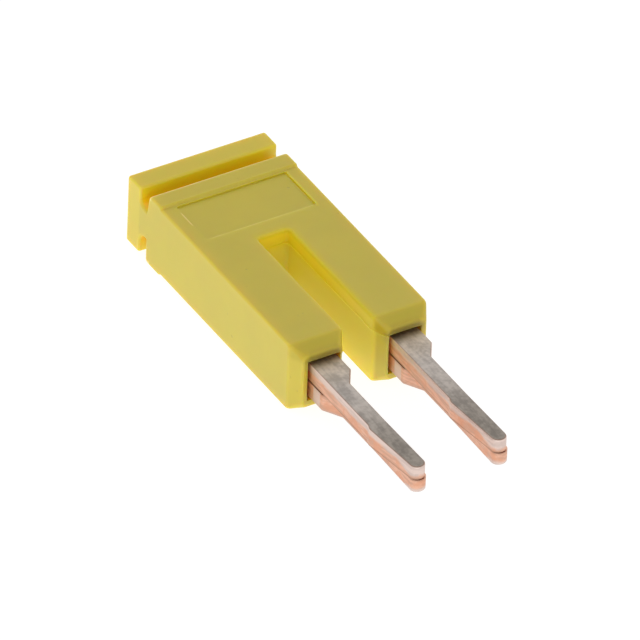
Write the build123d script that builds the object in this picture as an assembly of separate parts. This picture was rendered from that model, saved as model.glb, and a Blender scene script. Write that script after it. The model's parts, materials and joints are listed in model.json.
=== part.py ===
from build123d import *
import os

# Two-pole shorting bar for rail-mounted terminal blocks, in millimetres.
# +X runs from pole to pole, +Y from the prong tips to the head bar, +Z from the back to the front.
# The origin is at the middle of the footprint, on the plane that the part lies on.

# Poles
pole_pitch = 5.1
pole_count = 2

# Contact comb: a flat stamping, used twice, the second time turned over
strip_thickness = 1.09
seam_gap = 0.08
crossbar_height = 4.35
crotch_radius = 0.5
root_width = 1.76
bare_root_length = 1.35
root_step_length = 1.1
root_step_radius = 0.12
leaf_offset = 0.2
leaf_length = 3.65
leaf_heel_radius = 0.25
swell = 0.1
swell_length = 0.35
swell_radius = 0.3
tip_length = 4.26
tip_width = 0.9
tip_corner_radius = 0.44
tip_thinning = 0.27
stamped_edge_radius = 0.1

# Insulating body: walls round the combs
fit_clearance = 0.03
cover_wall = 1.03
outer_wall = 0.87
slot_wall = 0.66
crown_wall = 0.87
web_wall = 0.93
slot_length = 9.97

# Insulating body: head bar, grip grooves and the raised collar beside them
head_bar_length = 1.38
head_bar_radius = 0.16
groove_width = 0.7
front_groove_depth = 1.29
back_groove_depth = 1.5
groove_floor_radius = 0.5
groove_flare = 0.24
front_lip_radius = 0.35
back_lip_radius = 0.3
collar_length = 1.58
collar_rise = 0.13
collar_slope = 0.15

# Insulating body: edges, leg ends and prong mouths
edge_radius = 0.15
slot_corner_radius = 0.25
bevel_width = 0.46
bevel_length = 0.86
bevel_start_radius = 0.4
leg_end_radius = 0.18
leg_end_corner_radius = 0.35
mouth_side_clearance = 0.14
mouth_face_clearance = 0.2
mouth_depth = 0.6

# Insulating body: label field and the bead left by the mould's parting line
field_side_margin = 0.87
field_height = 3.35
field_to_slot = 1.19
field_depth = 0.1
field_corner_radius = 0.12
bead_above_comb = 0.12
bead_height = 0.03
bead_width = 0.06

# How far a cutter reaches past the faces that it cuts, and how near counts as on a face
cutter_overrun = 1.0
near = 0.01

# Positions along the length, counted from the head end towards the tips
groove_end = head_bar_length + groove_width
collar_end = groove_end + collar_length
crossbar_start = groove_end + crown_wall + fit_clearance
crossbar_end = crossbar_start + crossbar_height
slot_start = crossbar_end + fit_clearance + web_wall
leg_end = slot_start + slot_length
bevel_start = leg_end - bevel_length
root_end = leg_end + bare_root_length
leaf_start = root_end + root_step_length
leaf_end = leaf_start + leaf_length
tip_end = leaf_end + tip_length
field_end = slot_start - field_to_slot
field_start = field_end - field_height

# Across the width, from the prong axes and from the middle
half_root = root_width / 2
axis_to_side = half_root + fit_clearance + outer_wall
axis_to_slot = half_root + fit_clearance + slot_wall
prong_axes = [(i - (pole_count - 1) / 2) * pole_pitch for i in range(pole_count)]
slot_middles = [(a + b) / 2 for a, b in zip(prong_axes, prong_axes[1:])]
half_slot = pole_pitch / 2 - axis_to_slot
half_body = prong_axes[-1] + axis_to_side
half_crossbar = prong_axes[-1] + half_root

# Through the thickness, from the back of the collar, which is the lowest face, up
back_face_z = collar_rise
rear_comb_z = back_face_z + cover_wall + fit_clearance
front_comb_z = rear_comb_z + strip_thickness + seam_gap
comb_front_z = front_comb_z + strip_thickness
middle_z = (rear_comb_z + comb_front_z) / 2
front_face_z = comb_front_z + fit_clearance + cover_wall
body_thickness = front_face_z - back_face_z
collar_front_z = front_face_z + collar_rise
parting_z = comb_front_z + bead_above_comb

# The middle of the footprint is half of the overall length from the head end
head_y = tip_end / 2


def y_at(distance):
    """Y of a station that lies this far from the head end."""
    return head_y - distance


def outline(corners):
    """Closed face whose corners are (x, y, radius)."""
    points = [(x, y) for x, y, radius in corners]
    radii = [radius for x, y, radius in corners]
    return make_face(FilletPolyline(*points, radius=radii, close=True))


def block(x_middle, width, start, end, z_low, z_high):
    """Box between two stations along the length."""
    middle = Pos(x_middle, y_at((start + end) / 2), (z_low + z_high) / 2)
    return middle * Box(width, end - start, z_high - z_low)


# Contact combs
def prong_corners(axis_x):
    """One prong's outline, down its left side, round the tip and up its stepped right side."""
    left = axis_x - half_root
    right = axis_x + half_root
    leaf_right = axis_x + leaf_offset
    half_tip = tip_width / 2
    return [
        (left, y_at(leaf_end), swell_radius),
        (left - swell, y_at(leaf_end + swell_length), swell_radius),
        (axis_x - half_tip, y_at(tip_end), tip_corner_radius),
        (axis_x + half_tip, y_at(tip_end), tip_corner_radius),
        (leaf_right, y_at(leaf_end), swell_radius),
        (leaf_right, y_at(leaf_start), leaf_heel_radius),
        (right, y_at(root_end), root_step_radius),
    ]


def comb_outline():
    """The stamping's outline: a crossbar with one prong for each pole."""
    crotch_y = y_at(crossbar_end)
    corners = [(-half_crossbar, y_at(crossbar_start), 0.0)]
    for i, axis_x in enumerate(prong_axes):
        if i > 0:
            corners.append((axis_x - half_root, crotch_y, crotch_radius))
        corners += prong_corners(axis_x)
        if i < pole_count - 1:
            corners.append((axis_x + half_root, crotch_y, crotch_radius))
    corners.append((half_crossbar, y_at(crossbar_start), 0.0))
    return outline(corners)


def comb_side_profile():
    """Side view of the stamping: flat, then coined thinner on its outer face towards the tip."""
    top_y = y_at(crossbar_start) + cutter_overrun
    corners = [
        (top_y, front_comb_z, 0.0),
        (y_at(tip_end), front_comb_z, 0.0),
        (y_at(tip_end), comb_front_z - tip_thinning, 0.0),
        (y_at(leaf_end), comb_front_z, 0.0),
        (top_y, comb_front_z, 0.0),
    ]
    return Plane.YZ * outline(corners)


def front_comb():
    """The comb as it lies in front: coined side up, edges rolled over by the punch on that side."""
    blank = extrude(Pos(0, 0, front_comb_z) * comb_outline(), strip_thickness)
    coined = blank & extrude(comb_side_profile(), half_body + cutter_overrun, both=True)
    punched = coined.faces().filter_by(lambda face: face.normal_at().Z > 0.5)
    return fillet(punched.edges(), stamped_edge_radius)


def turned_over(shape):
    """The same stamping turned over, about the middle of the pair."""
    return Pos(0, 0, middle_z) * Rot(0, 180, 0) * Pos(0, 0, -middle_z) * shape


# Insulating body
def side_profile():
    """Side view of the moulding: head bar, groove and raised collar on each face, flat body."""
    bar_foot = y_at(head_bar_length)
    groove_foot = y_at(groove_end)
    collar_foot = y_at(collar_end)
    collar_top = y_at(collar_end - collar_slope)
    front_floor = collar_front_z - front_groove_depth
    corners = [
        (y_at(0), back_face_z, head_bar_radius),
        (bar_foot, back_face_z, head_bar_radius),
        (bar_foot, back_groove_depth, groove_floor_radius),
        (groove_foot, back_groove_depth, 0.0),
        (groove_foot, 0, back_lip_radius),
        (collar_top, 0, 0.0),
        (collar_foot, back_face_z, 0.0),
        (y_at(bevel_start), back_face_z, 0.0),
        (y_at(bevel_start), front_face_z, 0.0),
        (collar_foot, front_face_z, 0.0),
        (collar_top, collar_front_z, 0.0),
        (groove_foot - groove_flare, collar_front_z, front_lip_radius),
        (groove_foot, front_floor, 0.0),
        (bar_foot, front_floor, groove_floor_radius),
        (bar_foot, front_face_z, head_bar_radius),
        (y_at(0), front_face_z, head_bar_radius),
    ]
    return Plane.YZ * outline(corners)


def solid_bar():
    """The moulding down to the bevels of its leg ends, with rounded side edges and no slots."""
    bar = extrude(side_profile(), half_body, both=True)
    side_edges = bar.faces().filter_by(Axis.X).edges()
    side_edges = side_edges.filter_by(lambda e: e.center().Y > y_at(bevel_start) + near)
    return fillet(side_edges, edge_radius)


def slot_rims(body, x_middle):
    """The edges of one slot on the front and back faces."""

    def on_rim(edge):
        middle = edge.center()
        beside = abs(middle.X - x_middle) < half_slot + near
        return beside and y_at(bevel_start) + near < middle.Y < y_at(slot_start) + near

    return body.faces().filter_by(Axis.Z).edges().filter_by(on_rim)


def cut_slots(body):
    """Part the legs with open-ended slots whose rims are rounded."""
    for x_middle in slot_middles:
        corners = [
            (x_middle - half_slot, y_at(slot_start), slot_corner_radius),
            (x_middle - half_slot, y_at(leg_end), 0.0),
            (x_middle + half_slot, y_at(leg_end), 0.0),
            (x_middle + half_slot, y_at(slot_start), slot_corner_radius),
        ]
        below = Pos(0, 0, -cutter_overrun)
        body -= extrude(below * outline(corners), body_thickness + 2 * cutter_overrun)
        body = fillet(slot_rims(body, x_middle), edge_radius)
    return body


def leg_section(axis_x, station, inset, radius):
    """Rounded cross-section of a leg, drawn in by inset on all four sides."""
    left = axis_x - (axis_to_side if axis_x == prong_axes[0] else axis_to_slot)
    right = axis_x + (axis_to_side if axis_x == prong_axes[-1] else axis_to_slot)
    middle = ((left + right) / 2, y_at(station), middle_z)
    plane = Plane(origin=middle, x_dir=(1, 0, 0), z_dir=(0, -1, 0))
    return plane * RectangleRounded(right - left - 2 * inset, body_thickness - 2 * inset, radius)


def add_leg_ends(body):
    """Close each leg with a short end that is bevelled on its four sides."""
    for axis_x in prong_axes:
        wide = leg_section(axis_x, bevel_start, 0.0, edge_radius)
        narrow = leg_section(axis_x, leg_end, bevel_width, leg_end_corner_radius)
        body += loft([wide, narrow])
    starts = body.edges().filter_by_position(
        Axis.Y, y_at(bevel_start) - near, y_at(bevel_start) + near
    )
    body = fillet(starts, bevel_start_radius)
    ends = body.edges().filter_by_position(Axis.Y, y_at(leg_end) - near, y_at(leg_end) + near)
    return fillet(ends, leg_end_radius)


def label_field():
    """Shallow recess for a label on the front face."""
    half_field = half_body - field_side_margin
    corners = [
        (-half_field, y_at(field_start), field_corner_radius),
        (-half_field, y_at(field_end), field_corner_radius),
        (half_field, y_at(field_end), field_corner_radius),
        (half_field, y_at(field_start), field_corner_radius),
    ]
    floor = Pos(0, 0, front_face_z - field_depth)
    return extrude(floor * outline(corners), field_depth + cutter_overrun)


def parting_bead(x_middle):
    """Thin raised line that the mould leaves on the walls of one slot and on its two leg ends."""
    half_room = half_slot - bead_height
    half_flare = half_room + bevel_width
    half_mouth = pole_pitch / 2 - half_root - mouth_side_clearance
    room_start = y_at(slot_start + bead_height)
    room_end = y_at(leg_end + bead_height)
    room = [
        (x_middle - half_room, room_start, slot_corner_radius),
        (x_middle - half_room, y_at(bevel_start), bevel_start_radius),
        (x_middle - half_flare, room_end, leg_end_radius),
        (x_middle - half_mouth, room_end, 0.0),
        (x_middle - half_mouth, room_end - cutter_overrun, 0.0),
        (x_middle + half_mouth, room_end - cutter_overrun, 0.0),
        (x_middle + half_mouth, room_end, 0.0),
        (x_middle + half_flare, room_end, leg_end_radius),
        (x_middle + half_room, y_at(bevel_start), bevel_start_radius),
        (x_middle + half_room, room_start, slot_corner_radius),
    ]
    low = parting_z - bead_width / 2
    high = parting_z + bead_width / 2
    start = slot_start - bead_width
    end = leg_end + bead_height
    band = block(x_middle, 2 * half_mouth, start, end, low, high)
    return band - extrude(Pos(0, 0, low) * outline(room), bead_width)


def pocket_outline():
    """Plan of the hollow: room for the crossbars and a straight sleeve for each prong."""
    half_sleeve = half_root + fit_clearance
    crotch_y = y_at(crossbar_end + fit_clearance)
    outside_y = y_at(leg_end + cutter_overrun)
    half_pocket = half_crossbar + fit_clearance
    corners = [(-half_pocket, y_at(crossbar_start - fit_clearance), 0.0)]
    for i, axis_x in enumerate(prong_axes):
        if i > 0:
            corners.append((axis_x - half_sleeve, crotch_y, crotch_radius))
        corners.append((axis_x - half_sleeve, outside_y, 0.0))
        corners.append((axis_x + half_sleeve, outside_y, 0.0))
        if i < pole_count - 1:
            corners.append((axis_x + half_sleeve, crotch_y, crotch_radius))
    corners.append((half_pocket, y_at(crossbar_start - fit_clearance), 0.0))
    return outline(corners)


def comb_pocket():
    """Hollow for the two combs, which lie back to back, with a wider mouth at each prong."""
    low = rear_comb_z - fit_clearance
    high = comb_front_z + fit_clearance
    pocket = extrude(Pos(0, 0, low) * pocket_outline(), high - low)
    mouth_width = root_width + 2 * mouth_side_clearance
    mouth_low = rear_comb_z - mouth_face_clearance
    mouth_high = comb_front_z + mouth_face_clearance
    mouth_start = leg_end - mouth_depth
    outside = leg_end + cutter_overrun
    for axis_x in prong_axes:
        pocket += block(axis_x, mouth_width, mouth_start, outside, mouth_low, mouth_high)
    return pocket


def insulating_body():
    """The finished moulding."""
    body = add_leg_ends(cut_slots(solid_bar()))
    body -= label_field()
    for x_middle in slot_middles:
        body += parting_bead(x_middle)
    return body - comb_pocket()


front = front_comb()
pieces = {
    "insulating_body": insulating_body(),
    "front_contact_comb": front,
    "rear_contact_comb": turned_over(front),
}
os.makedirs("parts", exist_ok=True)
for name, shape in pieces.items():
    export_step(shape, f"parts/{name}.step")
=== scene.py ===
"""Looks of a two-pole shorting bar: moulded yellow plastic, tinned copper prongs and a pale studio."""

import json
import math

import bpy
from mathutils import Matrix, Vector

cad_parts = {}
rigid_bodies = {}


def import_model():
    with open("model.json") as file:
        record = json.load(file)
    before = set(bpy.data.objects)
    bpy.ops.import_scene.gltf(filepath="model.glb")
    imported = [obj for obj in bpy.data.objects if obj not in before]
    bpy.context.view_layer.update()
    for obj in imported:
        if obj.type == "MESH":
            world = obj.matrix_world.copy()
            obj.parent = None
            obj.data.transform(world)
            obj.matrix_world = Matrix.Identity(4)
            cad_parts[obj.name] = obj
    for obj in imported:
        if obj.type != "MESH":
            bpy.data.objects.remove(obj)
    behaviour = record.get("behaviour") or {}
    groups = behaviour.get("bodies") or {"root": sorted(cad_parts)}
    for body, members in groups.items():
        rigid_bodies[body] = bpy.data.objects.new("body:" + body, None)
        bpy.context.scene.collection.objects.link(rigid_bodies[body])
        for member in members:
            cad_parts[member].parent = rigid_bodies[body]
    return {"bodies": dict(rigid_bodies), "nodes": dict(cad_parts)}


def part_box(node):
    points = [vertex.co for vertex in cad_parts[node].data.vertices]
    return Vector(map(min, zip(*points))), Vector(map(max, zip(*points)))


bl_info = {
    "name": "Shorting Bar",
    "version": (1, 0, 0),
    "blender": (4, 5, 0),
    "location": "3D View > Sidebar > Shorting Bar",
    "description": "Dresses a plug-in shorting bar and sets it in a plain studio",
    "category": "Object",
}

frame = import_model()
for leftover in list(bpy.data.objects):
    if leftover.name not in frame["nodes"] and leftover not in frame["bodies"].values():
        bpy.data.objects.remove(leftover)
bpy.context.view_layer.update()

MM = 0.001
BODY_NODE = "insulating_body"
FRONT_COMB_NODE = "front_contact_comb"
REAR_COMB_NODE = "rear_contact_comb"
PLASTIC_SLOT = "yellow_plastic"
COPPER_SLOT = "tinned_copper"

# Landmarks from the frame, in millimetres
body_low, body_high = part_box(BODY_NODE)
front_low, front_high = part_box(FRONT_COMB_NODE)
rear_low, rear_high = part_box(REAR_COMB_NODE)
HEAD_END_Y = body_high.y / MM
LEG_END_Y = body_low.y / MM
MIDDLE_Z = (body_low.z + body_high.z) / 2 / MM
SEAM_Z = (front_low.z + rear_high.z) / 2 / MM
HALF_STACK = (front_high.z - rear_low.z) / 2 / MM

# Landmarks along the body, in millimetres from the head end towards the tips
HEAD_BAR_END = 1.38
GROOVE_MIDDLE = 1.73
LIP_CREST = 2.43
FIELD_MIDDLE = 5.5
FIELD_END = 7.13
SLOT_START = 8.3

# Landmarks across and through the body, in millimetres
POLE_PITCH = 5.1
HALF_BODY = 4.33
HALF_THICKNESS = 2.19
HALF_SLOT = 1.0
FIELD_HALF_WIDTH = 3.46
FIELD_FLOOR_Z = 4.41
PRONG_HALF_WIDTH = 0.85
MOUTH_HALF_WIDTH = 1.03
MOUTH_HALF_HEIGHT = 1.36

# Lamp and floor, in metres
KEY_LAMP_PLACE = (-0.10, -0.20, 0.09)
KEY_LAMP_SIZE = 0.16
FLOOR_HALF_WIDTH = 1.5

# How white the floor shows, how much of that veils its shadow, and how much of the table's light
# is left at the far right
WHITE = (1.0, 1.0, 1.0, 1.0)
FLOOR_COLOUR = (0.85, 0.85, 0.85, 1.0)
FLOOR_WHITENESS = 1.20
FLOOR_VEIL = 0.75
FAR_RIGHT_SHARE = 0.68

# Camera: what it looks at and how far the picture is shifted, in millimetres, and its sensor
LOOK_AT = (0, 0.31, 2.365)
SHIFT_RIGHT = -0.2455
SHIFT_UP = 0.0293
SENSOR_WIDTH = 36.0


class Wire:
    """A node's output, with arithmetic that adds Math nodes."""

    def __init__(self, paint, socket):
        self.paint = paint
        self.socket = socket

    def _math(self, operation, a, b):
        return self.paint.node("ShaderNodeMath", {"operation": operation}, {0: a, 1: b})

    def __add__(self, other):
        return self._math("ADD", self, other)

    __radd__ = __add__

    def __sub__(self, other):
        return self._math("SUBTRACT", self, other)

    def __rsub__(self, other):
        return self._math("SUBTRACT", other, self)

    def __mul__(self, other):
        return self._math("MULTIPLY", self, other)

    __rmul__ = __mul__

    def __abs__(self):
        return self._math("ABSOLUTE", self, 0.0)


class Paint:
    """The node tree of a material or a world, built up by node types and what their sockets take."""

    def __init__(self, owner):
        self.owner = owner
        owner.use_nodes = True
        self.tree = owner.node_tree
        self.tree.nodes.clear()

    def add(self, kind, settings=None, sockets=None):
        """Adds one node: settings first, then values or wires into its sockets."""
        node = self.tree.nodes.new(kind)
        for key, value in (settings or {}).items():
            setattr(node, key, value)
        for key, value in (sockets or {}).items():
            if isinstance(value, Wire):
                self.tree.links.new(value.socket, node.inputs[key])
            else:
                node.inputs[key].default_value = value
        return node

    def node(self, kind, settings=None, sockets=None, output=0):
        """Adds one node and gives the wire from one of its outputs."""
        return Wire(self, self.add(kind, settings, sockets).outputs[output])

    def axes(self, vector):
        """The x, y and z of a vector."""
        node = self.add("ShaderNodeSeparateXYZ", None, {0: vector})
        return [Wire(self, output) for output in node.outputs]

    def stretched(self, vector, scale):
        """A vector with each of its axes multiplied by scale."""
        return self.node("ShaderNodeVectorMath", {"operation": "MULTIPLY"}, {0: vector, 1: scale})

    def noise(self, vector, scale, detail=2.0, roughness=0.5):
        """Smooth noise around a half, with scale in cells for each millimetre."""
        sockets = {"Vector": vector, "Scale": scale, "Detail": detail, "Roughness": roughness}
        return self.node("ShaderNodeTexNoise", None, sockets)

    def ramp(self, value, low, high, to_low, to_high, shape="SMOOTHSTEP"):
        """Goes from to_low to to_high while a value goes from low to high."""
        sockets = {"Value": value, "From Min": low, "From Max": high}
        sockets.update({"To Min": to_low, "To Max": to_high})
        return self.node("ShaderNodeMapRange", {"interpolation_type": shape}, sockets)

    def above(self, value, low, high):
        """Nought under low and one over high."""
        return self.ramp(value, low, high, 0.0, 1.0)

    def below(self, value, low, high):
        """One under low and nought over high."""
        return self.ramp(value, low, high, 1.0, 0.0)

    def band(self, value, middle, half, soft):
        """One within half of the middle, falling to nought over the soft width outside it."""
        return self.below(abs(value - middle), half, half + soft)

    def beyond(self, value, level):
        """How far a value is past a level, and nought before it."""
        return self.node("ShaderNodeMath", {"operation": "MAXIMUM"}, {0: value - level, 1: 0.0})

    def mix(self, factor, first, second):
        """Colour from first to second."""
        sockets = {0: factor}
        for socket, colour in ((6, first), (7, second)):
            sockets[socket] = colour if isinstance(colour, Wire) else (*colour, 1.0)
        return self.node("ShaderNodeMix", {"data_type": "RGBA"}, sockets, output=2)

    def bump(self, height, distance, normal=None):
        """Raises the surface by up to distance metres."""
        sockets = {"Strength": 1.0, "Distance": distance, "Height": height}
        if normal is not None:
            sockets["Normal"] = normal
        return self.node("ShaderNodeBump", None, sockets)

    def rays(self, *names):
        """One for rays of the named kinds and nought for all others."""
        outputs = self.add("ShaderNodeLightPath").outputs
        first, *rest = [Wire(self, outputs[f"Is {name} Ray"]) for name in names]
        return sum(rest, first)

    def surface(self, shader):
        """Ends the tree in this shader and gives the material or world."""
        in_world = isinstance(self.owner, bpy.types.World)
        kind = "ShaderNodeOutputWorld" if in_world else "ShaderNodeOutputMaterial"
        self.add(kind, None, {"Surface": shader})
        return self.owner

    def principled(self, sockets):
        """Ends the tree in a Principled shader with these sockets."""
        return self.surface(self.node("ShaderNodeBsdfPrincipled", None, sockets))


class Place:
    """Where a point of the object is, in millimetres."""

    def __init__(self, paint):
        metres = paint.node("ShaderNodeTexCoord", output="Object")
        scaling = {0: metres, "Scale": 1 / MM}
        self.point = paint.node("ShaderNodeVectorMath", {"operation": "SCALE"}, scaling)
        self.across, y, self.up = paint.axes(self.point)
        # From the head end towards the tips, and out of the leg end
        self.along = HEAD_END_Y - y
        self.out = LEG_END_Y - y
        # Down from the nearer flat face of the body
        self.from_middle = abs(self.up - MIDDLE_Z)
        self.deep = HALF_THICKNESS - self.from_middle
        # From the seam between the strips, and down from the nearer face of their stack
        self.from_seam = abs(self.up - SEAM_Z)
        self.down_edge = HALF_STACK - self.from_seam


def colour_property(name, description, default):
    """A colour that a user can change."""
    return bpy.props.FloatVectorProperty(
        name=name,
        description=description,
        subtype="COLOR",
        size=3,
        min=0.0,
        max=1.0,
        default=default,
    )


def length_property(name, description, default):
    """A small length that a user can change."""
    return bpy.props.FloatProperty(
        name=name,
        description=description,
        unit="LENGTH",
        precision=6,
        default=default,
    )


def angle_property(name, description, degrees):
    """An angle that a user can change, given in degrees."""
    return bpy.props.FloatProperty(
        name=name,
        description=description,
        subtype="ANGLE",
        default=math.radians(degrees),
    )


class PlasticSettings(bpy.types.PropertyGroup):
    """The moulded plastic of the insulating body."""

    colour: colour_property(
        "Colour",
        "Base colour of the moulding",
        (0.60, 0.49, 0.03),
    )
    # Painted glow: deep yellow between the legs, standing in for light that comes through the plastic
    slot_glow_colour: colour_property(
        "Slot colour",
        "Deeper colour between the legs, where light has gone through the plastic",
        (0.82, 0.66, 0.0),
    )
    # Painted light: paler yellow towards the open end of the slot
    slot_end_glow_colour: colour_property(
        "Slot end colour",
        "Paler colour between the legs, towards their ends",
        (0.80, 0.68, 0.07),
    )
    # Painted glow on the front face beside the slot and near the top of its walls
    slot_rim_glow_colour: colour_property(
        "Slot rim colour",
        "Colour of the front face beside the slot, where light comes through the rim",
        (0.60, 0.50, 0.0),
    )
    # Painted glow: deep orange in the grooves, standing in for light that shines through the head bar
    groove_glow_colour: colour_property(
        "Groove colour",
        "Deeper colour in the grooves behind the head bar",
        (0.92, 0.64, 0.0),
    )
    # Painted light: bright yellow on the grooves' walls near the faces and on the right rim of the
    # label field
    lit_yellow_colour: colour_property(
        "Groove top colour",
        "Colour of the grooves' walls near the faces",
        (0.80, 0.68, 0.01),
    )
    # Painted highlight on the thin lip along a groove and on the rims of the label field
    lip_highlight_colour: colour_property(
        "Lip colour",
        "Colour of the thin lip along a groove, where the plastic glows through",
        (0.98, 0.74, 0.28),
    )
    # Painted shade inside the mouths and above each prong
    mouth_shade_colour: colour_property(
        "Mouth colour",
        "Dark colour inside the mouths that the prongs come out of",
        (0.22, 0.17, 0.02),
    )
    roughness: bpy.props.FloatProperty(
        name="Roughness",
        description="How dull the moulded skin is",
        min=0.0,
        max=1.0,
        default=0.42,
    )
    glow_depth: length_property(
        "Glow depth",
        "How far light goes inside the plastic",
        1.0 * MM,
    )
    grain_height: length_property(
        "Grain height",
        "Height of the fine grain that the mould leaves",
        0.0015 * MM,
    )


class CopperSettings(bpy.types.PropertyGroup):
    """The tinned copper of the two contact combs."""

    tin_colour: colour_property(
        "Tin",
        "Colour of the tinned faces",
        (0.435, 0.39, 0.355),
    )
    warm_tin_colour: colour_property(
        "Warm tin",
        "Colour of the tinned faces beside the body",
        (0.54, 0.46, 0.38),
    )
    # Painted shade: darker tin towards the tips, where the tapering faces catch less light
    tip_shade_tin_colour: colour_property(
        "Dull tin",
        "Colour of the tinned faces towards the tips",
        (0.26, 0.23, 0.20),
    )
    smear_colour: colour_property(
        "Smeared tin",
        "Colour of the cut edge where the punch drew tin over the copper",
        (0.72, 0.58, 0.52),
    )
    copper_colour: colour_property(
        "Copper",
        "Colour of the bare cut edge",
        (0.76, 0.45, 0.32),
    )
    deep_copper_colour: colour_property(
        "Deep copper",
        "Colour of the redder patches of the bare cut edge",
        (0.74, 0.37, 0.23),
    )
    # Painted shade: brown along the seam between the strips and on the rounded rims of the strip
    shade_colour: colour_property(
        "Seam",
        "Brown along the seam and the rim of the strip",
        (0.30, 0.165, 0.11),
    )
    smear_depth: length_property(
        "Smear depth",
        "How far the tin was drawn down the cut edge",
        0.42 * MM,
    )


class StudioSettings(bpy.types.PropertyGroup):
    """Camera, lamp and soft light."""

    azimuth: angle_property(
        "Azimuth",
        "Turn of the camera about the object, from straight in front",
        -31.7135,
    )
    elevation: angle_property(
        "Elevation",
        "Height of the camera above the horizon",
        37.019,
    )
    roll: angle_property(
        "Roll",
        "Tilt of the picture",
        2.2421,
    )
    distance: bpy.props.FloatProperty(
        name="Distance",
        description="From the camera to the object",
        unit="LENGTH",
        default=1.111,
    )
    lens: bpy.props.FloatProperty(
        name="Lens",
        description="Focal length in millimetres on a 36 mm sensor",
        default=1150.9,
    )
    key_power: bpy.props.FloatProperty(
        name="Key lamp",
        description="Power of the large soft lamp beside the camera",
        unit="POWER",
        default=0.05,
    )
    sky_level: bpy.props.FloatProperty(
        name="Sky level",
        description="Strength of the soft light from above and from all round",
        default=0.77,
    )
    table_level: bpy.props.FloatProperty(
        name="Light table level",
        description="Strength of the soft light from below, through the table",
        default=1.36,
    )


def settings():
    """The add-on's settings in this scene."""
    return bpy.context.scene.shorting_bar


def times(colour, factor):
    """A colour made darker or lighter by a factor."""
    return [min(part * factor, 1.0) for part in colour]


def slot_paint(paint, place, colour, values):
    """Painted deep yellow glow between the legs, paler towards the open end, and a painted glow on the
    slot's rim; also says where the slot is.
    """
    side = abs(place.across)
    between = paint.below(side, HALF_SLOT, HALF_SLOT + 0.15)
    between = between * paint.above(place.along, SLOT_START - 0.2, SLOT_START)
    between = between * paint.above(place.deep, -0.06, 0.14)
    # Painted light: paler towards the open end and lower down the walls, where light comes in from
    # below
    open_end = paint.above(place.along, 12.0, 17.0)
    low_down = paint.above(place.deep, 0.69, 1.59)
    pale = open_end + (1 - open_end) * low_down * 0.6
    painted_slot_glow = paint.mix(pale, values.slot_glow_colour, values.slot_end_glow_colour)
    # Painted glow near the top of the slot walls
    rim = paint.below(place.deep, 0.09, 0.34)
    painted_slot_glow = paint.mix(rim * 0.7, painted_slot_glow, values.slot_rim_glow_colour)

    # Painted glow on the front face beside the slot and behind its end
    beside = paint.above(place.across, HALF_SLOT - 0.1, HALF_SLOT)
    beside = beside * paint.below(place.across, HALF_SLOT + 0.1, HALF_SLOT + 0.5)
    beside = beside * paint.above(place.along, SLOT_START - 0.1, SLOT_START + 0.2)
    behind = paint.above(place.along, SLOT_START - 0.6, SLOT_START - 0.1)
    behind = behind * paint.below(side, HALF_SLOT - 0.1, HALF_SLOT + 0.3)
    glow = (beside + behind * (1 - between)) * paint.below(place.deep, 0.04, 0.19)
    colour = paint.mix(glow * 0.7, colour, values.slot_rim_glow_colour)
    return paint.mix(between, colour, painted_slot_glow), between


def groove_paint(paint, place, colour, values):
    """Painted light in the grooves, from bright yellow at the top to a deep orange glow, and a painted
    highlight on the lip.
    """
    between = paint.band(place.along, GROOVE_MIDDLE, 0.3, 0.16)
    between = between * paint.below(abs(place.across), HALF_BODY - 0.28, HALF_BODY - 0.03)
    higher_at_right = paint.ramp(place.across, 1.5, 4.3, 0.0, 0.3)
    # Painted light: bright yellow near the top of the groove walls
    top = between * paint.above(place.deep + higher_at_right, -0.11, 0.29)
    colour = paint.mix(top, colour, values.lit_yellow_colour)
    # Painted glow: deep orange lower in the grooves, standing in for light that shines through the
    # head bar
    bottom = between * paint.above(place.deep, 0.19, 1.09)
    colour = paint.mix(bottom, colour, values.groove_glow_colour)
    # Painted highlight along the crest of the lip
    lip = paint.band(place.along, LIP_CREST, 0.05, 0.08) * paint.below(place.deep, 0.04, 0.19)
    fainter_at_right = paint.ramp(place.across, -2.0, 3.5, 0.75, 0.3)
    return paint.mix(lip * fainter_at_right, colour, values.lip_highlight_colour)


def mouth_paint(paint, place, colour, values):
    """Painted shade round the mouths and on the bevel above them, deepest above each prong; also says
    how deep it is.
    """
    red, green, blue = values.colour
    # Painted shade: the bevel above the mouths is darker and greener
    bevel = paint.above(place.out, -1.09, -0.59) * paint.above(place.up, 3.5, 3.9)
    colour = paint.mix(bevel, colour, (red * 0.86, green * 0.86, blue * 0.4))

    from_prong = abs(abs(place.across) - POLE_PITCH / 2)
    past_height = paint.beyond(place.from_middle, MOUTH_HALF_HEIGHT)
    from_edge = paint.beyond(from_prong, PRONG_HALF_WIDTH) + past_height
    near_end = paint.above(place.out, -0.79, -0.09)
    # Painted shade round each mouth, deepest above the prong
    shade = paint.below(from_edge, 0.0, 0.6) * near_end
    shade = shade * paint.ramp(place.up, 2.8, 3.7, 0.12, 0.9)
    colour = paint.mix(shade, colour, values.mouth_shade_colour)

    past_mouth = paint.beyond(from_prong, MOUTH_HALF_WIDTH) + past_height
    # Painted shade inside the mouth
    inside = paint.below(past_mouth, 0.03, 0.06) * paint.below(place.out, -0.07, -0.02)
    inside = inside * near_end * paint.ramp(place.up, 2.8, 3.7, 0.0, 0.4)
    return paint.mix(inside, colour, values.mouth_shade_colour), shade


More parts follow.
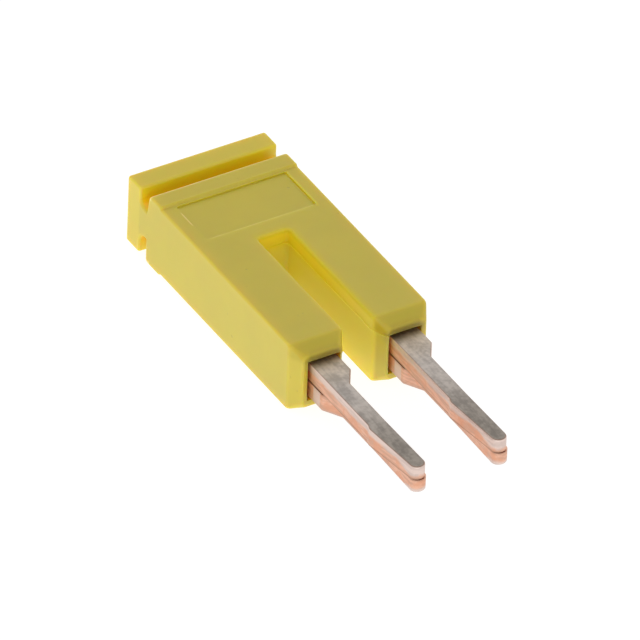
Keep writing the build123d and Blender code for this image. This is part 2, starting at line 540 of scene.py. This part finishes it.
def field_paint(paint, place, colour, values):
    """Painted highlights on the rims of the label field: pale lines at the left and by the slot, and a
    brighter band at the right.
    """
    on_front = paint.above(place.up, FIELD_FLOOR_Z - 0.11, FIELD_FLOOR_Z - 0.01)
    patchy = paint.above(paint.noise(place.point, 0.9, detail=1.0), 0.42, 0.6)
    # Painted highlight: a short pale line on the left rim
    left = paint.band(place.across, -FIELD_HALF_WIDTH - 0.03, 0.02, 0.05)
    left = left * paint.band(place.along, FIELD_MIDDLE - 0.5, 0.4, 0.4)
    # Painted highlight: a pale line, broken by noise, on the rim by the slot
    by_slot = paint.band(place.along, FIELD_END - 0.05, 0.02, 0.05)
    by_slot = by_slot * paint.band(place.across, 0.0, 3.1, 0.3)
    painted_rim_highlights = (left * 0.5 + by_slot * patchy * 0.35) * on_front
    colour = paint.mix(painted_rim_highlights, colour, values.lip_highlight_colour)
    # Painted light: a brighter yellow band on the right rim
    right = paint.band(place.across, FIELD_HALF_WIDTH + 0.02, 0.06, 0.06)
    right = right * paint.band(place.along, FIELD_MIDDLE, 1.6, 0.3)
    return paint.mix(right * on_front * 0.35, colour, values.lit_yellow_colour)


def plastic_material(values):
    """Satin moulded plastic with fine grain, faint flow marks and a slight inner glow, and painted
    light and shade in the slot, grooves, mouths and label field.
    """
    paint = Paint(bpy.data.materials.new(PLASTIC_SLOT))
    place = Place(paint)
    cloud = paint.noise(place.point, 0.35, detail=3.0)
    grain = paint.noise(place.point, 16.0, detail=3.0, roughness=0.65)
    wave = paint.noise(place.point, 1.3, detail=1.0)
    nick = paint.above(paint.noise(place.point, 2.3, detail=1.0), 0.755, 0.80)

    colour = paint.mix(paint.above(cloud, 0.3, 0.7), times(values.colour, 0.96), values.colour)
    colour = paint.mix(nick * 0.5, colour, times(values.colour, 0.7))
    # Painted light: the thin head bar is lighter, standing in for light that shines through it from
    # behind
    head_bar_glow = paint.below(place.along, HEAD_BAR_END - 0.18, HEAD_BAR_END + 0.07)
    colour = paint.mix(head_bar_glow, colour, times(values.colour, 1.09))
    colour, in_slot = slot_paint(paint, place, colour, values)
    colour = groove_paint(paint, place, colour, values)
    colour, shade = mouth_paint(paint, place, colour, values)
    colour = field_paint(paint, place, colour, values)

    roughness = values.roughness - 0.05 + cloud * 0.06 + grain * 0.04
    waves = paint.bump(wave, 0.003 * MM)
    nicks = paint.bump(1 - nick, 0.01 * MM, waves)
    return paint.principled(
        {
            "Base Color": colour,
            "Roughness": roughness + in_slot * 0.3 + shade * 0.3,
            "Normal": paint.bump(grain, values.grain_height, nicks),
            "IOR": 1.56,
            "Subsurface Weight": 1.0,
            "Subsurface Radius": (1.0, 0.6, 0.1),
            "Subsurface Scale": values.glow_depth,
        }
    )


def shades(paint, value, colour, dark, light):
    """A colour that goes from a darker to a lighter shade of itself with a value."""
    return paint.mix(paint.above(value, 0.38, 0.62), times(colour, dark), times(colour, light))


def tin_paint(paint, place, values):
    """Mottled tin of the flat faces, warm by the body, with painted shade towards the tip."""
    blotch = paint.noise(place.point, 1.3, detail=3.0)
    speck = paint.noise(place.point, 5.0, detail=1.0)
    streak = paint.noise(paint.stretched(place.point, (5.0, 0.5, 1.0)), 1.2)
    mottle = blotch * 0.55 + speck * 0.20 + streak * 0.25
    warm = shades(paint, mottle, values.warm_tin_colour, 0.74, 1.12)
    fresh = shades(paint, mottle, values.tin_colour, 0.77, 1.18)
    dull = shades(paint, mottle, values.tip_shade_tin_colour, 0.80, 1.24)
    colour = paint.mix(paint.above(place.out, 0.8, 3.0), warm, fresh)
    # Painted shade: the tin goes darker towards the tip
    return paint.mix(paint.above(place.out, 3.5, 8.2), colour, dull)


def cut_paint(paint, place, values, rear):
    """The punched edge: tin drawn down it, then copper with lengthwise streaks, and a painted
    highlight along the front strip's top edge.
    """
    streaks = paint.stretched(place.point, (2.0, 0.6, 6.0))
    fibre = paint.noise(streaks, 1.0, detail=3.0, roughness=0.6)
    ragged = paint.noise(paint.stretched(place.point, (1.0, 0.8, 0.2)), 1.0, detail=3.0)
    reach = place.down_edge + (ragged - 0.5) * 0.30 + (fibre - 0.5) * 0.30
    # Near the tip the pale smeared band reaches further down: partly tin smear, partly a painted
    # highlight where the tapering side catches the light
    at_tip = paint.above(place.out, 8.6, 9.9)
    smear_end = values.smear_depth / MM * (0.15 if rear else 1.0)
    bare = paint.above(reach - at_tip * 0.4, smear_end - 0.10, smear_end + 0.14)
    smear = shades(paint, fibre, values.smear_colour, 0.90, 1.04)
    copper = shades(paint, fibre, values.copper_colour, 0.84, 1.06)
    redder = paint.above(paint.noise(place.point, 1.6), 0.48, 0.62)
    copper = paint.mix(redder * 0.7, copper, values.deep_copper_colour)
    colour = paint.mix(bare, smear, copper)
    if rear:
        heel = paint.band(place.out, 0.75, 0.3, 0.1)
        colour = paint.mix(heel * 0.8, colour, values.smear_colour)
        low_edge = paint.below(place.down_edge, 0.0, 0.4)
        return paint.mix(low_edge * 0.5, colour, times(values.copper_colour, 0.7))
    # Painted highlight: a pale line along the top edge of the front strip's cut face
    edge_highlight = paint.below(place.down_edge, 0.06, 0.18)
    return paint.mix(edge_highlight * 0.7, colour, times(values.smear_colour, 1.10))


def copper_material(name, values, rear):
    """Tinned strip: mottled tin on the faces, tin drawn down the cut edge, then bare copper, with
    painted shade on the rounded rims and along the seam, and painted light on the inner faces at the
    seam.
    """
    paint = Paint(bpy.data.materials.new(name))
    place = Place(paint)
    facing_up = abs(paint.axes(paint.node("ShaderNodeTexCoord", output="Normal"))[2])
    flat = paint.above(facing_up, 0.55, 0.93)
    # Painted shade on the rounded rims between the flat faces and the cut edges
    rim = paint.above(facing_up, 0.6, 0.85) * paint.below(facing_up, 0.93, 0.995)
    # Painted shade along the seam between the strips
    seam_shade = paint.below(place.from_seam, 0.05, 0.17) * (1 - flat)
    # Painted light: the inner faces at the seam are painted bright copper, which lightens the dark gap
    lit_seam_faces = paint.below(place.from_seam, 0.05, 0.08) * flat

    colour = paint.mix(flat, cut_paint(paint, place, values, rear), tin_paint(paint, place, values))
    colour = paint.mix(rim * 0.6, colour, values.shade_colour)
    colour = paint.mix(seam_shade * 0.6, colour, values.shade_colour)
    colour = paint.mix(lit_seam_faces, colour, values.copper_colour)

    blotch = paint.noise(place.point, 1.8, detail=4.0, roughness=0.6)
    scratch = paint.noise(paint.stretched(place.point, (22.0, 1.2, 4.0)), 1.0)
    pits = paint.noise(place.point, 9.0, detail=3.0, roughness=0.6)
    shear = paint.noise(paint.stretched(place.point, (14.0, 14.0, 0.8)), 1.0)
    relief = flat * (scratch * 0.5 + pits * 0.8) + (1 - flat) * shear
    return paint.principled(
        {
            "Base Color": colour,
            "Metallic": 1.0,
            "Roughness": 0.36 + blotch * 0.14 + (1 - flat) * 0.06,
            "Normal": paint.bump(relief, 0.006 * MM),
        }
    )


def wear_material(node_name, material):
    """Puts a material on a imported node, in place of its plain one."""
    node = frame["nodes"][node_name]
    node.data.materials.clear()
    node.data.materials.append(material)


def floor_material():
    """Pale table that shows white to the camera and in reflections, and keeps the soft shadow."""
    paint = Paint(bpy.data.materials.new("pale_floor"))
    plain = paint.node("ShaderNodeBsdfDiffuse", None, {"Color": FLOOR_COLOUR})
    glow = {"Color": WHITE, "Strength": FLOOR_WHITENESS}
    white = paint.node("ShaderNodeEmission", None, glow)
    veiled = paint.node("ShaderNodeMixShader", None, {0: FLOOR_VEIL, 1: plain, 2: white})
    seen = paint.rays("Camera", "Glossy", "Transmission")
    return paint.surface(paint.node("ShaderNodeMixShader", None, {0: seen, 1: plain, 2: veiled}))


def lay_floor():
    """The table that the object lies on; light from below comes through it."""
    half = FLOOR_HALF_WIDTH
    corners = [(-half, -half, 0), (half, -half, 0), (half, half, 0), (-half, half, 0)]
    mesh = bpy.data.meshes.new("floor")
    mesh.from_pydata(corners, [], [(0, 1, 2, 3)])
    mesh.materials.append(floor_material())
    floor = bpy.data.objects.new("floor", mesh)
    floor.visible_diffuse = False
    floor.visible_shadow = False
    bpy.context.scene.collection.objects.link(floor)


def hang_key_lamp(power):
    """A large soft lamp beside the camera, turned to face the object."""
    light = bpy.data.lights.new("key_lamp", "AREA")
    light.shape = "SQUARE"
    light.size = KEY_LAMP_SIZE
    light.energy = power
    lamp = bpy.data.objects.new("key_lamp", light)
    lamp.location = KEY_LAMP_PLACE
    lamp.rotation_euler = (-Vector(KEY_LAMP_PLACE)).to_track_quat("-Z", "Y").to_euler()
    lamp.visible_camera = False
    bpy.context.scene.collection.objects.link(lamp)


def studio_world(sky_level, table_level):
    """Soft light from all round, brighter from below; the camera and reflections see white."""
    paint = Paint(bpy.data.worlds.new("studio"))
    x, y, z = paint.axes(paint.node("ShaderNodeTexCoord", output="Generated"))
    far_right = table_level * FAR_RIGHT_SHARE
    table = paint.ramp(x, -0.3, 0.7, table_level, far_right, "LINEAR")
    level = paint.ramp(z, -0.04, 0.04, table, sky_level, "LINEAR")
    soft = paint.node("ShaderNodeBackground", None, {"Color": WHITE, "Strength": level})
    white = paint.node("ShaderNodeBackground", None, {"Color": WHITE, "Strength": 1.0})
    seen = paint.rays("Camera", "Glossy", "Transmission")
    mixed = paint.node("ShaderNodeMixShader", None, {0: seen, 1: soft, 2: white})
    bpy.context.scene.world = paint.surface(mixed)


def place_camera(values):
    """A long lens from above the prong tips, rolled a little."""
    azimuth, elevation, roll = values.azimuth, values.elevation, values.roll
    level = Vector((math.cos(azimuth), math.sin(azimuth), 0))
    forward = Vector((-math.sin(azimuth), math.cos(azimuth), 0))
    back = Vector((0, 0, math.sin(elevation))) - forward * math.cos(elevation)
    upright = back.cross(level)
    right = math.cos(roll) * level + math.sin(roll) * upright
    up = math.cos(roll) * upright - math.sin(roll) * level
    aim = (Vector(LOOK_AT) + SHIFT_RIGHT * right + SHIFT_UP * up) * MM
    camera = bpy.data.objects.new("camera", bpy.data.cameras.new("camera"))
    camera.data.lens = values.lens
    camera.data.sensor_width = SENSOR_WIDTH
    camera.data.clip_start = 0.05
    camera.data.clip_end = 20.0
    turn = Matrix((right, up, back)).transposed().to_4x4()
    camera.matrix_world = Matrix.Translation(aim + back * values.distance) @ turn
    bpy.context.scene.collection.objects.link(camera)
    bpy.context.scene.camera = camera


class SHORTINGBAR_OT_dress_body(bpy.types.Operator):
    """Give the insulating body its moulded plastic"""

    bl_idname = "shorting_bar.dress_body"
    bl_label = "Insulating Body"

    def execute(self, context):
        wear_material(BODY_NODE, plastic_material(settings().plastic))
        return {"FINISHED"}


class SHORTINGBAR_OT_dress_combs(bpy.types.Operator):
    """Give the two contact combs their tinned copper"""

    bl_idname = "shorting_bar.dress_combs"
    bl_label = "Contact Combs"

    def execute(self, context):
        values = settings().copper
        front = copper_material(f"{COPPER_SLOT}_front", values, rear=False)
        rear = copper_material(f"{COPPER_SLOT}_rear", values, rear=True)
        wear_material(FRONT_COMB_NODE, front)
        wear_material(REAR_COMB_NODE, rear)
        return {"FINISHED"}


class SHORTINGBAR_OT_set_studio(bpy.types.Operator):
    """Lay the light table, hang the lamp and place the camera"""

    bl_idname = "shorting_bar.set_studio"
    bl_label = "Studio"

    def execute(self, context):
        values = settings().studio
        lay_floor()
        hang_key_lamp(values.key_power)
        studio_world(values.sky_level, values.table_level)
        place_camera(values)
        context.scene.view_settings.view_transform = "Standard"
        return {"FINISHED"}


class SHORTINGBAR_PT_sidebar(bpy.types.Panel):
    """The steps and settings, in the 3D view's sidebar"""

    bl_idname = "SHORTINGBAR_PT_sidebar"
    bl_label = "Shorting Bar"
    bl_space_type = "VIEW_3D"
    bl_region_type = "UI"
    bl_category = "Shorting Bar"

    def draw(self, context):
        layout = self.layout
        for step in STEPS:
            layout.operator(step.bl_idname)
        for group in (settings().plastic, settings().copper, settings().studio):
            column = layout.column()
            for name in group.__annotations__:
                column.prop(group, name)


class ShortingBarSettings(bpy.types.PropertyGroup):
    """All settings of the shorting bar."""

    plastic: bpy.props.PointerProperty(type=PlasticSettings)
    copper: bpy.props.PointerProperty(type=CopperSettings)
    studio: bpy.props.PointerProperty(type=StudioSettings)


STEPS = (SHORTINGBAR_OT_dress_body, SHORTINGBAR_OT_dress_combs, SHORTINGBAR_OT_set_studio)
GROUPS = (PlasticSettings, CopperSettings, StudioSettings, ShortingBarSettings)


def register():
    """Make the settings, steps and panel known."""
    for part in (*GROUPS, *STEPS, SHORTINGBAR_PT_sidebar):
        bpy.utils.register_class(part)
    bpy.types.Scene.shorting_bar = bpy.props.PointerProperty(type=ShortingBarSettings)


def unregister():
    """Take the settings, steps and panel away again."""
    del bpy.types.Scene.shorting_bar
    for part in reversed((*GROUPS, *STEPS, SHORTINGBAR_PT_sidebar)):
        bpy.utils.unregister_class(part)


def main():
    """Build the whole scene."""
    register()
    bpy.ops.shorting_bar.dress_body()
    bpy.ops.shorting_bar.dress_combs()
    bpy.ops.shorting_bar.set_studio()


if __name__ == "__main__":
    main()
